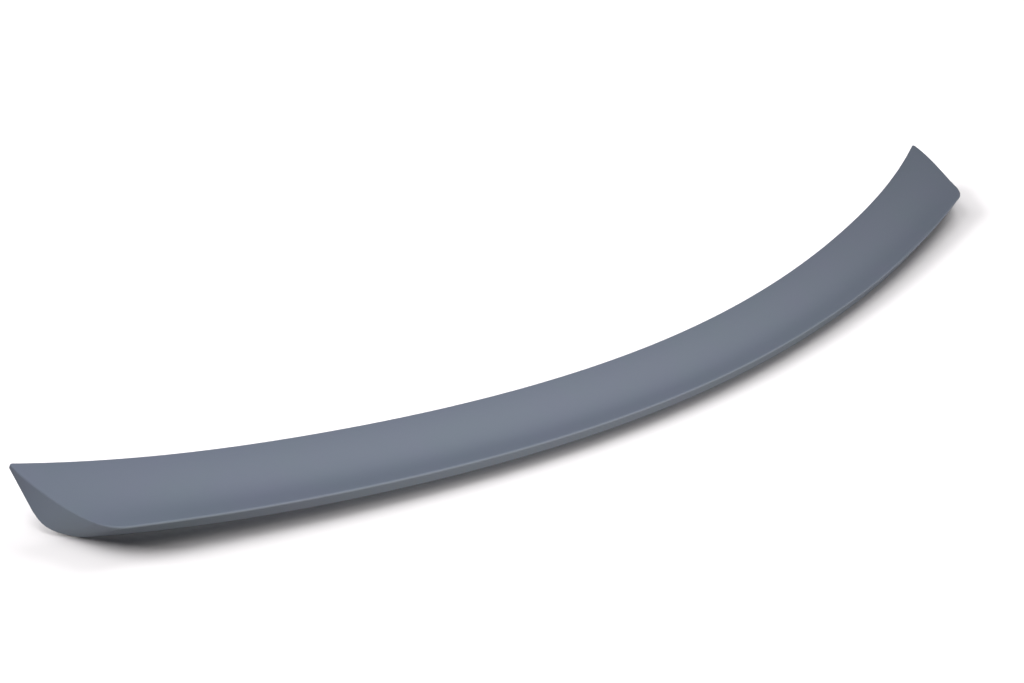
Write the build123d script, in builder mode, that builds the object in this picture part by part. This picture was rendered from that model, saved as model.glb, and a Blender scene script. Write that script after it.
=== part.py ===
"""Rear lip spoiler for a car's boot lid: one moulded piece, finished in primer.

The frame is the way the spoiler lies on a bench: X across the car, +Y towards the
front of the car, +Z up. The origin is under the middle of the spoiler, on the surface
that its tail rests on. All sizes are in millimetres.
"""

import os
from math import atan2, degrees

from build123d import *

# Across the car: from tip to tip, the same on both sides of X = 0
span = 1122.0
half_span = span / 2

# Lines along the span: value at the centre, rise from there to the tips, and the shares of
# that rise that grow with the square and the fourth power of x; the sixth power has the rest.
# Y counts from the foot at the centre, Z from the surface under the foot, and the lean is
# how far the tail wall hangs back for each mm of height.
lead_y = (66.5, 152.6, 1.239, -0.476)
lead_z = (21.1, 11.2, -0.672, 1.672)
crest_z = (11.85, 10.9, 0.522, 0.478)
foot_y = (0.0, 149.4, 1.027, -0.227)
tail_lean = (0.309, 1.01, 0.226, 0.774)

# Section: thin leading edge, hollow top, flat land under the tail
lead_thickness = 3.0
top_sag = 2.7
land_depth = 0.6

# Ends, at the foot and as a change for each mm of height: how far the tail's corner lies
# inside half_span and the tip outside it, and the directions, in degrees from the car's
# length, in which the side leaves the corner and reaches the tip
corner_inset, corner_inset_rise = 25.6, 0.92
tip_flare, tip_flare_rise = 11.5, -0.32
corner_turn, corner_turn_rise = 48.2, -1.039
tip_turn, tip_turn_rise = -5.7, 0.464

# Arms of the side's curve at the corner and at the tip
corner_arm = 51.4
tip_arm = 40.8

# Edges: rounded corners, tips and top, and a small chamfer round the underside
corner_radius = 12.0
tip_radius = 2.0
top_radius = 1.4
rim_chamfer = 0.8

# Grooves for bonding tape in the underside, placed as shares of the way from foot to nose
tape_width = 12.0
tape_depth = 0.8
tape_half_length = 470.0
tape_shares = (0.25, 0.8)

# Raw stock that the trimming removes
end_overrun = 39.0
crest_overrun = 25.0
foot_overrun = 50.0
nose_overrun = 5.0
wall_height = 40.0
wall_below = 2.0
groove_stock = 6.0

# How many sections or points are taken on each side of the centre
blade_section_count = 6
outline_point_count = 5
tape_section_count = 4

# Shares of the way from crest to leading edge where the top's section has its points
top_shares = (0.75, 0.5, 0.25, 0.0)


def along(line, x):
    """Value of a line along the span at x."""
    centre, rise, square, fourth = line
    u = (x / half_span) ** 2
    return centre + rise * (square * u + fourth * u**2 + (1 - square - fourth) * u**3)


def tail_y(x, z):
    """Fore-and-aft place of the tail wall at x and height z."""
    return along(foot_y, x) - along(tail_lean, x) * z


def top_point(x, s):
    """Point (y, z) of the top skin at x, for s from 0 at the crest to 1 at the leading edge.

    The hollow is a cubic that is deepest, by top_sag, a third of the way from the crest.
    """
    low, high = along(crest_z, x), along(lead_z, x)
    rear, front = tail_y(x, low), along(lead_y, x)
    hollow = top_sag * 27 / 4 * s * (1 - s) ** 2
    return rear + (front - rear) * s, low + (high - low) * s - hollow


def under_point(x, s):
    """Point (y, z) of the straight underside at x, for s from 0 at the foot to 1 at the nose."""
    rear, front = along(foot_y, x), along(lead_y, x)
    nose = along(lead_z, x) - lead_thickness
    return rear + (front - rear) * s, -land_depth + (nose + land_depth) * s


def places(reach, count):
    """Values of x from -reach to reach, count of them on each side of the centre."""
    return [reach * i / count for i in range(-count, count + 1)]


# The frame's middle lies halfway between the tips and the crest at the centre
tip_y = along(lead_y, half_span)
middle_y = (tip_y + top_point(0, 0)[0]) / 2


def section_plane(x):
    """Upright plane across the blade at x, with Y and Z as its own axes."""
    return Plane((x, -middle_y, 0), x_dir=(0, 1, 0), z_dir=(1, 0, 0))


# Raw blade: the section from past the leading edge to past the tail, lofted across the car
with BuildPart() as blade:
    for x in places(half_span + end_overrun, blade_section_count):
        chord = along(lead_y, x) - along(foot_y, x)
        past_nose = 1 + nose_overrun / chord
        past_crest = -crest_overrun / chord
        past_foot = -foot_overrun / chord
        top = [top_point(x, s) for s in (past_nose, *top_shares, past_crest)]
        with BuildSketch(section_plane(x)):
            with BuildLine():
                Spline(*top)
                Polyline(top[-1], under_point(x, past_foot), under_point(x, past_nose), top[0])
            make_face()
    loft()


def outline(z):
    """Plan of the trimming wall at height z: bowed tail, curved sides and nose."""
    corner = half_span - corner_inset - corner_inset_rise * z
    tip = half_span + tip_flare + tip_flare_rise * z
    tail = [(x, tail_y(x, z)) for x in places(corner, outline_point_count)]
    nose = [(x, along(lead_y, x)) for x in places(tip, outline_point_count)]
    leave = Vector(0, corner_arm).rotate(Axis.Z, -corner_turn - corner_turn_rise * z)
    reach = Vector(0, tip_arm).rotate(Axis.Z, -tip_turn - tip_turn_rise * z)
    turn, end = Vector(tail[-1]), Vector(nose[-1])
    with BuildSketch(Plane((0, -middle_y, z))) as plan:
        with BuildLine():
            Spline(*tail)
            Spline(*nose)
            with BuildLine():
                Bezier(turn, turn + leave, end - reach, end)
                mirror(about=Plane.YZ)
        make_face()
    return plan.sketch


# Trimming wall: the outline below the foot and above the tips, joined by straight rulings,
# with its upright edges rounded at the tips and then at the corners
with BuildPart() as wall:
    loft([outline(-wall_below), outline(wall_height)], ruled=True)
    for row, radius in ((-1, tip_radius), (0, corner_radius)):
        upright = wall.edges().filter_by_position(Axis.Z, -wall_below, wall_height, (False, False))
        fillet(upright.group_by(Axis.Y)[row], radius)

# Spoiler: the blade inside the wall, with its top rounded, its rim chamfered, the land cut
# flat under the tail and the tape grooves sunk in the underside
with BuildPart() as spoiler:
    add(blade.part)
    add(wall.part, mode=Mode.INTERSECT)
    top = spoiler.faces().sort_by(SortBy.AREA)[-2:].sort_by(Axis.Z)[-1]
    fillet(top.edges(), top_radius)
    under = spoiler.faces().sort_by(SortBy.AREA)[-2:].sort_by(Axis.Z)[0]
    chamfer(under.edges(), rim_chamfer)
    split(bisect_by=Plane.XY, keep=Keep.TOP)
    for share in tape_shares:
        for x in places(tape_half_length, tape_section_count):
            rear, front = under_point(x, 0), under_point(x, 1)
            slope = degrees(atan2(front[1] - rear[1], front[0] - rear[0]))
            with BuildSketch(section_plane(x)):
                with Locations(Location((*under_point(x, share), 0), (0, 0, slope))):
                    with Locations((0, tape_depth - groove_stock / 2)):
                        Rectangle(tape_width, groove_stock)
        loft(mode=Mode.SUBTRACT)

os.makedirs("parts", exist_ok=True)
spoiler.part.label = "spoiler"
export_step(spoiler.part, "parts/spoiler.step")
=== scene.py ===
"""Studio picture of a bare rear lip spoiler in matte blue-grey primer."""

from math import cos, pi, radians, sin

import bpy
import numpy as np
from bpy.props import FloatProperty, FloatVectorProperty, IntProperty, PointerProperty
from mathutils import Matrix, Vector


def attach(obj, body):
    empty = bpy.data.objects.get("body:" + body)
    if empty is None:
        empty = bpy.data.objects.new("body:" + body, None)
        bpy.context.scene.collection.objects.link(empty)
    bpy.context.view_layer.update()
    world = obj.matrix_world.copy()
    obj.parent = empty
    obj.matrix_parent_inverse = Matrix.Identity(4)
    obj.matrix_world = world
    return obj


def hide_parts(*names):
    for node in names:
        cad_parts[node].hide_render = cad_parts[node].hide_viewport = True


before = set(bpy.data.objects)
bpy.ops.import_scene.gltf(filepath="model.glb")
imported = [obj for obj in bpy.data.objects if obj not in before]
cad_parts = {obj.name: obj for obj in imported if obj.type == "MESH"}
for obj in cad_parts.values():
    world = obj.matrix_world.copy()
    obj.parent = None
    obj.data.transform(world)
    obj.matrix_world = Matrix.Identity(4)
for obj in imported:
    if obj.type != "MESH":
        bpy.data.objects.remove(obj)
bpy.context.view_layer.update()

bl_info = {
    "name": "Rear Lip Spoiler",
    "version": (1, 0, 0),
    "blender": (4, 5, 0),
    "location": "3D View > Sidebar > Spoiler",
    "description": "Finishes a moulded lip spoiler in primer and sets it on a white studio floor",
    "category": "Object",
}

# Lines along the solid's span, in metres: value at the centre, rise from there to the tips, and
# the shares of that rise that grow with the square and the fourth power of x; the sixth power
# has the rest. Y counts from the foot at the centre, and the lean is how far the tail wall
# hangs back for each metre of height.
half_span = 0.561
lead_y = (0.0665, 0.1526, 1.239, -0.476)
crest_z = (0.01185, 0.0109, 0.522, 0.478)
foot_y = (0.0, 0.1494, 1.027, -0.227)
tail_lean = (0.309, 1.01, 0.226, 0.774)

# Dip of the top: the powers with which it grows from the crest and from the leading edge, and
# the power of x with which it fades towards the ends
crest_power = 2
lead_power = 3
fade_power = 14

# Skin: decimals of a metre to which the solid's points are merged, the least upward part of a
# normal on the top, and the half step in metres over which the slope of the dip is taken
merge_decimals = 6
least_up = 0.5
slope_step = 1e-5

# Corners of the four triangles that one is cut into: 0 to 2 are its own corners, and 3 to 5 the
# middles of the edges that start there
quarters = [0, 3, 5, 3, 1, 4, 5, 4, 2, 3, 4, 5]

# Fineness of the primer's clouds and of its grain, in octaves of noise
cloud_detail = 3.0
grain_detail = 2.0

# Soft boxes that light the spoiler, in metres: one overhead, a low row behind the tail, and a
# small one beside the right end. The row's table has the place across the car and the share of
# the row's power for each of its boxes.
box_target = (0.0, 0.03, 0.0)
overhead_place = (-0.40, 0.3, 1.15)
overhead_size = 1.3
row_boxes = (
    (-1.15, 0.90),
    (-0.65, 1.00),
    (-0.15, 1.10),
    (0.35, 0.70),
)
row_y = -1.0
row_height = 0.4
row_size = 0.6
fill_place = (1.4, 0.0, 0.1)
fill_target = (0.53, 0.05, 0.01)
fill_size = 0.3

# Soft lights on the floor, two low and three higher, from the car's front left round to its
# right: degrees round from the tail, degrees up, breadth in degrees, and the share of full white
# that each gives to a floor that faces it
floor_lights = (
    (215, 20, 32, 1.22),
    (118, 19, 32, 1.05),
    (180, 42, 36, 0.32),
    (150, 62, 40, 0.14),
    (90, 45, 60, 0.22),
)

# How far the floor reaches to each side and how far the camera sees, in metres, and the width of
# the camera's sensor in mm
floor_reach = 12.0
camera_sight = 100.0
sensor_width = 36.0


class HollowSettings(bpy.types.PropertyGroup):
    """Hollow of the top skin."""

    depth: FloatProperty(
        name="Added Depth",
        description="How much deeper the hollow is than in the solid",
        subtype="DISTANCE",
        default=0.0036,
    )
    reach: FloatProperty(
        name="Reach",
        description="Distance from the centre at which the added depth has faded out",
        subtype="DISTANCE",
        default=0.56,
    )
    cuts: IntProperty(
        name="Cuts",
        description="How many times each triangle of the solid is cut in four",
        default=2,
    )


class PrimerSettings(bpy.types.PropertyGroup):
    """Colour and surface of the sprayed primer."""

    colour: FloatVectorProperty(
        name="Primer Colour",
        description="Colour of the dry primer",
        subtype="COLOR",
        size=3,
        default=(0.192, 0.209, 0.280),
    )
    thin_colour: FloatVectorProperty(
        name="Thin Coat Colour",
        description="Colour in the clouds where the coat is thinner",
        subtype="COLOR",
        size=3,
        default=(0.185, 0.226, 0.269),
    )
    cloud_size: FloatProperty(
        name="Cloud Size",
        description="Breadth of the clouds that the spray gun leaves",
        subtype="DISTANCE",
        default=0.05,
    )
    grain_size: FloatProperty(
        name="Grain Size",
        description="Breadth of the dry grain in the coat",
        subtype="DISTANCE",
        default=0.0012,
    )
    grain_height: FloatProperty(
        name="Grain Height",
        description="Height of the dry grain in the coat",
        subtype="DISTANCE",
        default=0.00003,
    )
    roughness_low: FloatProperty(
        name="Least Roughness",
        description="Roughness where the coat is thickest",
        subtype="FACTOR",
        default=0.50,
    )
    roughness_high: FloatProperty(
        name="Most Roughness",
        description="Roughness where the coat is thinnest",
        subtype="FACTOR",
        default=0.58,
    )
    gloss: FloatProperty(
        name="Gloss",
        description="Strength of the coat's reflection",
        subtype="FACTOR",
        default=0.2,
    )


class StageSettings(bpy.types.PropertyGroup):
    """Camera, lights and floor."""

    camera_place: FloatVectorProperty(
        name="Camera Place",
        description="Where the camera stands",
        subtype="TRANSLATION",
        size=3,
        default=(-0.67245, -0.75221, 0.63848),
    )
    camera_target: FloatVectorProperty(
        name="Camera Target",
        description="Point on the floor in the middle of the picture",
        subtype="TRANSLATION",
        size=3,
        default=(-0.09278, 0.06655, 0.0),
    )
    lens: FloatProperty(
        name="Lens",
        description="Focal length in mm on a sensor 36 mm wide",
        default=42.19,
    )
    overhead_power: FloatProperty(
        name="Overhead Power",
        description="Power of the soft box above the spoiler",
        subtype="POWER",
        default=9.9,
    )
    overhead_colour: FloatVectorProperty(
        name="Overhead Colour",
        description="Colour of the overhead and fill soft boxes, cool as daylight",
        subtype="COLOR",
        size=3,
        default=(0.86, 0.905, 1.0),
    )
    row_power: FloatProperty(
        name="Row Power",
        description="Power of a soft box with a share of 1 in the low row behind the tail",
        subtype="POWER",
        default=4.05,
    )
    row_colour: FloatVectorProperty(
        name="Row Colour",
        description="Colour of the low row behind the tail, warm as a room",
        subtype="COLOR",
        size=3,
        default=(1.0, 0.95, 0.86),
    )
    fill_power: FloatProperty(
        name="Fill Power",
        description="Power of the small soft box that stands low beside the right end",
        subtype="POWER",
        default=1.8,
    )
    ambient: FloatProperty(
        name="Ambient",
        description="Light that the room around the stage gives",
        default=0.0,
    )
    floor_colour: FloatVectorProperty(
        name="Floor Colour",
        description="Share of its light that the floor shows to the eye",
        subtype="COLOR",
        size=3,
        default=(0.606, 0.592, 0.600),
    )
    floor_bounce: FloatVectorProperty(
        name="Floor Bounce",
        description="Colour of the light that the floor throws back on the spoiler",
        subtype="COLOR",
        size=3,
        default=(0.02, 0.018, 0.016),
    )


def along(line, x):
    """Value of a line along the span at x."""
    centre, rise, square, fourth = line
    u = (x / half_span) ** 2
    return centre + rise * (square * u + fourth * u**2 + (1 - square - fourth) * u**3)


def crest_y(x):
    """Fore-and-aft place of the crest at x, from the foot at the centre."""
    return along(foot_y, x) - along(tail_lean, x) * along(crest_z, x)


def dip(x, y, settings):
    """How far the top skin is sunk below the solid at x, y.

    With s from 0 at the crest to 1 at the leading edge, it is s to the crest's power times 1 - s
    to the lead's power, over what that is at its highest, so it leaves both edges level. Along
    the span it fades out as the square of 1 minus x over the reach to the fading power.
    """
    middle_y = (along(lead_y, half_span) + crest_y(0)) / 2
    rear, front = crest_y(x), along(lead_y, x)
    s = np.clip((y + middle_y - rear) / (front - rear), 0, 1)
    deepest = crest_power / (crest_power + lead_power)
    highest = deepest**crest_power * (1 - deepest) ** lead_power
    fade = np.clip(1 - (x / settings.reach) ** fade_power, 0, 1) ** 2
    return settings.depth * fade * s**crest_power * (1 - s) ** lead_power / highest


def unit(vectors):
    """Vectors of length 1 in the same directions."""
    return vectors / np.linalg.norm(vectors, axis=-1, keepdims=True)


def solid_arrays(mesh):
    """Points of a mesh merged where they meet, its triangles, and the normals at their corners.

    A triangle that shrinks to a line as its points merge is left out.
    """
    mesh.calc_loop_triangles()
    points = np.empty(3 * len(mesh.vertices))
    mesh.vertices.foreach_get("co", points)
    corners = np.empty(3 * len(mesh.loop_triangles), dtype=np.int32)
    mesh.loop_triangles.foreach_get("loops", corners)
    ends = np.empty(len(mesh.loops), dtype=np.int32)
    mesh.loops.foreach_get("vertex_index", ends)
    normals = np.empty(3 * len(mesh.loops))
    mesh.corner_normals.foreach_get("vector", normals)
    points = np.round(points.reshape(-1, 3), merge_decimals)
    points, merged = np.unique(points, axis=0, return_inverse=True)
    triangles = merged.ravel()[ends[corners]].reshape(-1, 3)
    normals = normals.reshape(-1, 3)[corners].reshape(-1, 3, 3)
    whole = (triangles != np.roll(triangles, -1, axis=1)).all(axis=1)
    return points, triangles[whole], normals[whole]


def cut_in_four(points, triangles, normals):
    """Each triangle cut at the middles of its edges, which it shares with its neighbours."""
    edges = np.stack([triangles, np.roll(triangles, -1, axis=1)], axis=-1)
    pairs, back = np.unique(np.sort(edges.reshape(-1, 2), axis=1), axis=0, return_inverse=True)
    middles = len(points) + back.reshape(-1, 3)
    points = np.concatenate([points, points[pairs].mean(axis=1)])
    triangles = np.concatenate([triangles, middles], axis=1)[:, quarters].reshape(-1, 3)
    halfway = unit(normals + np.roll(normals, -1, axis=1))
    normals = np.concatenate([normals, halfway], axis=1)[:, quarters].reshape(-1, 3, 3)
    return points, triangles, normals


def sunk_skin(mesh, settings):
    """Mesh of the whole spoiler: the solid's surface, with its top lowered by the dip.

    A normal n over a surface that sinks by d turns to n + n_z (d_x, d_y, 0).
    """
    points, triangles, normals = solid_arrays(mesh)
    for _ in range(settings.cuts):
        points, triangles, normals = cut_in_four(points, triangles, normals)
    up = normals[..., 2] > least_up
    top = np.zeros(len(points), dtype=bool)
    top[triangles[up]] = True
    points[top, 2] -= dip(points[top, 0], points[top, 1], settings)

    x, y = points[triangles[up], :2].T
    across = dip(x + slope_step, y, settings) - dip(x - slope_step, y, settings)
    forward = dip(x, y + slope_step, settings) - dip(x, y - slope_step, settings)
    lean = np.stack([across, forward, np.zeros_like(x)], axis=1) / (2 * slope_step)
    normals[up] = unit(normals[up] + normals[up][:, 2:] * lean)

    skin = bpy.data.meshes.new("lip_skin")
    skin.from_pydata(points, [], triangles)
    skin.polygons.foreach_set("use_smooth", np.ones(len(triangles), dtype=bool))
    skin.normals_split_custom_set(normals.reshape(-1, 3))
    return skin


def empty_tree(holder):
    """Node tree of a material or a world, with nothing in it."""
    holder.use_nodes = True
    holder.node_tree.nodes.clear()
    return holder.node_tree


def noise(tree, place, size, detail):
    """Value of a noise whose lumps are about as broad as a size in metres."""
    node = tree.nodes.new("ShaderNodeTexNoise")
    node.inputs["Scale"].default_value = 1 / size
    node.inputs["Detail"].default_value = detail
    tree.links.new(place.outputs["Object"], node.inputs["Vector"])
    return node.outputs["Fac"]


def blend(tree, share, first, second):
    """Colour that goes from the first to the second as a share goes from 0 to 1."""
    node = tree.nodes.new("ShaderNodeMix")
    node.data_type = "RGBA"
    node.inputs["A"].default_value = (*first, 1.0)
    node.inputs["B"].default_value = (*second, 1.0)
    tree.links.new(share, node.inputs["Factor"])
    return node.outputs["Result"]


def between(tree, share, low, high):
    """Value that goes from low to high as a share goes from 0 to 1."""
    node = tree.nodes.new("ShaderNodeMapRange")
    node.inputs["To Min"].default_value = low
    node.inputs["To Max"].default_value = high
    tree.links.new(share, node.inputs["Value"])
    return node.outputs["Result"]


def primer_material(settings):
    """Matte primer: clouds between two coats of colour, with a fine dry grain on top."""
    material = bpy.data.materials.new("primer")
    tree = empty_tree(material)
    output = tree.nodes.new("ShaderNodeOutputMaterial")
    shader = tree.nodes.new("ShaderNodeBsdfPrincipled")
    shader.inputs["Specular IOR Level"].default_value = settings.gloss
    place = tree.nodes.new("ShaderNodeTexCoord")

    clouds = noise(tree, place, settings.cloud_size, cloud_detail)
    coat = blend(tree, clouds, settings.colour, settings.thin_colour)
    tree.links.new(coat, shader.inputs["Base Color"])
    matte = between(tree, clouds, settings.roughness_low, settings.roughness_high)
    tree.links.new(matte, shader.inputs["Roughness"])

    bump = tree.nodes.new("ShaderNodeBump")
    bump.inputs["Distance"].default_value = settings.grain_height
    grain = noise(tree, place, settings.grain_size, grain_detail)
    tree.links.new(grain, bump.inputs["Height"])
    tree.links.new(bump.outputs["Normal"], shader.inputs["Normal"])

    tree.links.new(shader.outputs["BSDF"], output.inputs["Surface"])
    return material


def seen_by_eye(tree):
    """Output that is 1 for rays from the camera, a gloss or a glass, and 0 for light thrown back."""
    path = tree.nodes.new("ShaderNodeLightPath")
    total = path.outputs["Is Camera Ray"]
    for ray in ("Is Glossy Ray", "Is Transmission Ray"):
        largest = tree.nodes.new("ShaderNodeMath")
        largest.operation = "MAXIMUM"
        tree.links.new(total, largest.inputs[0])
        tree.links.new(path.outputs[ray], largest.inputs[1])
        total = largest.outputs["Value"]
    return total


def floor_material(settings):
    """White floor that throws back less light than the eye sees on it, so its shadow stays."""
    material = bpy.data.materials.new("studio_floor")
    tree = empty_tree(material)
    output = tree.nodes.new("ShaderNodeOutputMaterial")
    diffuse = tree.nodes.new("ShaderNodeBsdfDiffuse")
    colour = blend(tree, seen_by_eye(tree), settings.floor_bounce, settings.floor_colour)
    tree.links.new(colour, diffuse.inputs["Color"])
    tree.links.new(diffuse.outputs["BSDF"], output.inputs["Surface"])
    return material


def studio_world(settings):
    """Room that is white to the eye and gives the ambient light."""
    world = bpy.data.worlds.new("studio")
    tree = empty_tree(world)
    output = tree.nodes.new("ShaderNodeOutputWorld")
    background = tree.nodes.new("ShaderNodeBackground")
    background.inputs["Color"].default_value = (1.0, 1.0, 1.0, 1.0)
    level = between(tree, seen_by_eye(tree), settings.ambient, 1.0)
    tree.links.new(level, background.inputs["Strength"])
    tree.links.new(background.outputs["Background"], output.inputs["Surface"])
    return world


def studio_floor(settings):
    """Level square under the spoiler."""
    far = floor_reach
    corners = [(-far, -far, 0), (far, -far, 0), (far, far, 0), (-far, far, 0)]
    mesh = bpy.data.meshes.new("floor")
    mesh.from_pydata(corners, [], [(0, 1, 2, 3)])
    mesh.materials.append(floor_material(settings))
    floor = bpy.data.objects.new("floor", mesh)
    bpy.context.scene.collection.objects.link(floor)
    return floor


def stand(name, data, place, target):
    """A lamp or a camera that stands at a place and is turned to a target."""
    holder = bpy.data.objects.new(name, data)
    holder.location = place
    holder.rotation_mode = "QUATERNION"
    holder.rotation_quaternion = (Vector(target) - Vector(place)).to_track_quat("-Z", "Y")
    bpy.context.scene.collection.objects.link(holder)
    return holder


def lamp(name, kind, place, target, power, lights):
    """A lamp that lights only the things in one collection."""
    light = bpy.data.lights.new(name, kind)
    light.energy = power
    stand(name, light, place, target).light_linking.receiver_collection = lights
    return light


def soft_box(name, place, target, size, power, colour, lights):
    """A square lamp of a size and a colour."""
    light = lamp(name, "AREA", place, target, power, lights)
    light.color = colour
    light.shape = "SQUARE"
    light.size = size


def light_spoiler(settings, lights):
    """Soft boxes for the spoiler: overhead, in a row behind the tail, and beside the right end."""
    cool, warm = settings.overhead_colour, settings.row_colour
    power = settings.overhead_power
    soft_box("overhead", overhead_place, box_target, overhead_size, power, cool, lights)
    for across, share in row_boxes:
        place = (across, row_y, row_height)
        power = share * settings.row_power
        soft_box("row", place, box_target, row_size, power, warm, lights)
    power = settings.fill_power
    soft_box("fill", fill_place, fill_target, fill_size, power, cool, lights)


def light_floor(settings, lights):
    """Broad suns for the floor, each strong enough to give its share of full white straight on."""
    floor_level = sum(settings.floor_colour) / 3
    for turn, rise, breadth, share in floor_lights:
        turn, rise = radians(turn), radians(rise)
        place = (sin(turn) * cos(rise), -cos(turn) * cos(rise), sin(rise))
        sun = lamp("floor_light", "SUN", place, (0, 0, 0), pi * share / floor_level, lights)
        sun.angle = radians(breadth)


class SPOILER_OT_skin(bpy.types.Operator):
    """Make the spoiler's skin, with its hollow top, in primer"""

    bl_idname = "spoiler.skin"
    bl_label = "Make Skin"

    def execute(self, context):
        scene = context.scene
        mesh = sunk_skin(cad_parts["spoiler"].data, scene.hollow)
        mesh.materials.append(primer_material(scene.primer))
        skin = bpy.data.objects.new("lip_skin", mesh)
        scene.collection.objects.link(skin)
        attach(skin, "root")
        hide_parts("spoiler")
        return {"FINISHED"}


class SPOILER_OT_stage(bpy.types.Operator):
    """Set up the floor, the lights and the camera"""

    bl_idname = "spoiler.stage"
    bl_label = "Set Stage"

    def execute(self, context):
        scene = context.scene
        stage = scene.stage
        scene.view_settings.view_transform = "Standard"
        scene.world = studio_world(stage)
        floor = studio_floor(stage)

        on_floor = bpy.data.collections.new("floor_light")
        on_floor.objects.link(floor)
        on_spoiler = bpy.data.collections.new("spoiler_light")
        on_spoiler.objects.link(bpy.data.objects["lip_skin"])
        light_spoiler(stage, on_spoiler)
        light_floor(stage, on_floor)

        camera = bpy.data.cameras.new("camera")
        camera.lens = stage.lens
        camera.sensor_width = sensor_width
        camera.clip_end = camera_sight
        scene.camera = stand("camera", camera, stage.camera_place, stage.camera_target)
        return {"FINISHED"}


class SPOILER_PT_panel(bpy.types.Panel):
    """Sizes, colours and steps of the spoiler's picture"""

    bl_idname = "SPOILER_PT_panel"
    bl_label = "Lip Spoiler"
    bl_space_type = "VIEW_3D"
    bl_region_type = "UI"
    bl_category = "Spoiler"

    def draw(self, context):
        scene = context.scene
        for group in (scene.hollow, scene.primer, scene.stage):
            column = self.layout.column()
            for name in group.__annotations__:
                column.prop(group, name)
        for operator in (SPOILER_OT_skin, SPOILER_OT_stage):
            self.layout.operator(operator.bl_idname)


classes = (
    HollowSettings,
    PrimerSettings,
    StageSettings,
    SPOILER_OT_skin,
    SPOILER_OT_stage,
    SPOILER_PT_panel,
)


def register():
    for cls in classes:
        bpy.utils.register_class(cls)
    bpy.types.Scene.hollow = PointerProperty(type=HollowSettings)
    bpy.types.Scene.primer = PointerProperty(type=PrimerSettings)
    bpy.types.Scene.stage = PointerProperty(type=StageSettings)


def unregister():
    del bpy.types.Scene.stage
    del bpy.types.Scene.primer
    del bpy.types.Scene.hollow
    for cls in reversed(classes):
        bpy.utils.unregister_class(cls)


def main():
    register()
    bpy.ops.spoiler.skin()
    bpy.ops.spoiler.stage()


if __name__ == "__main__":
    main()
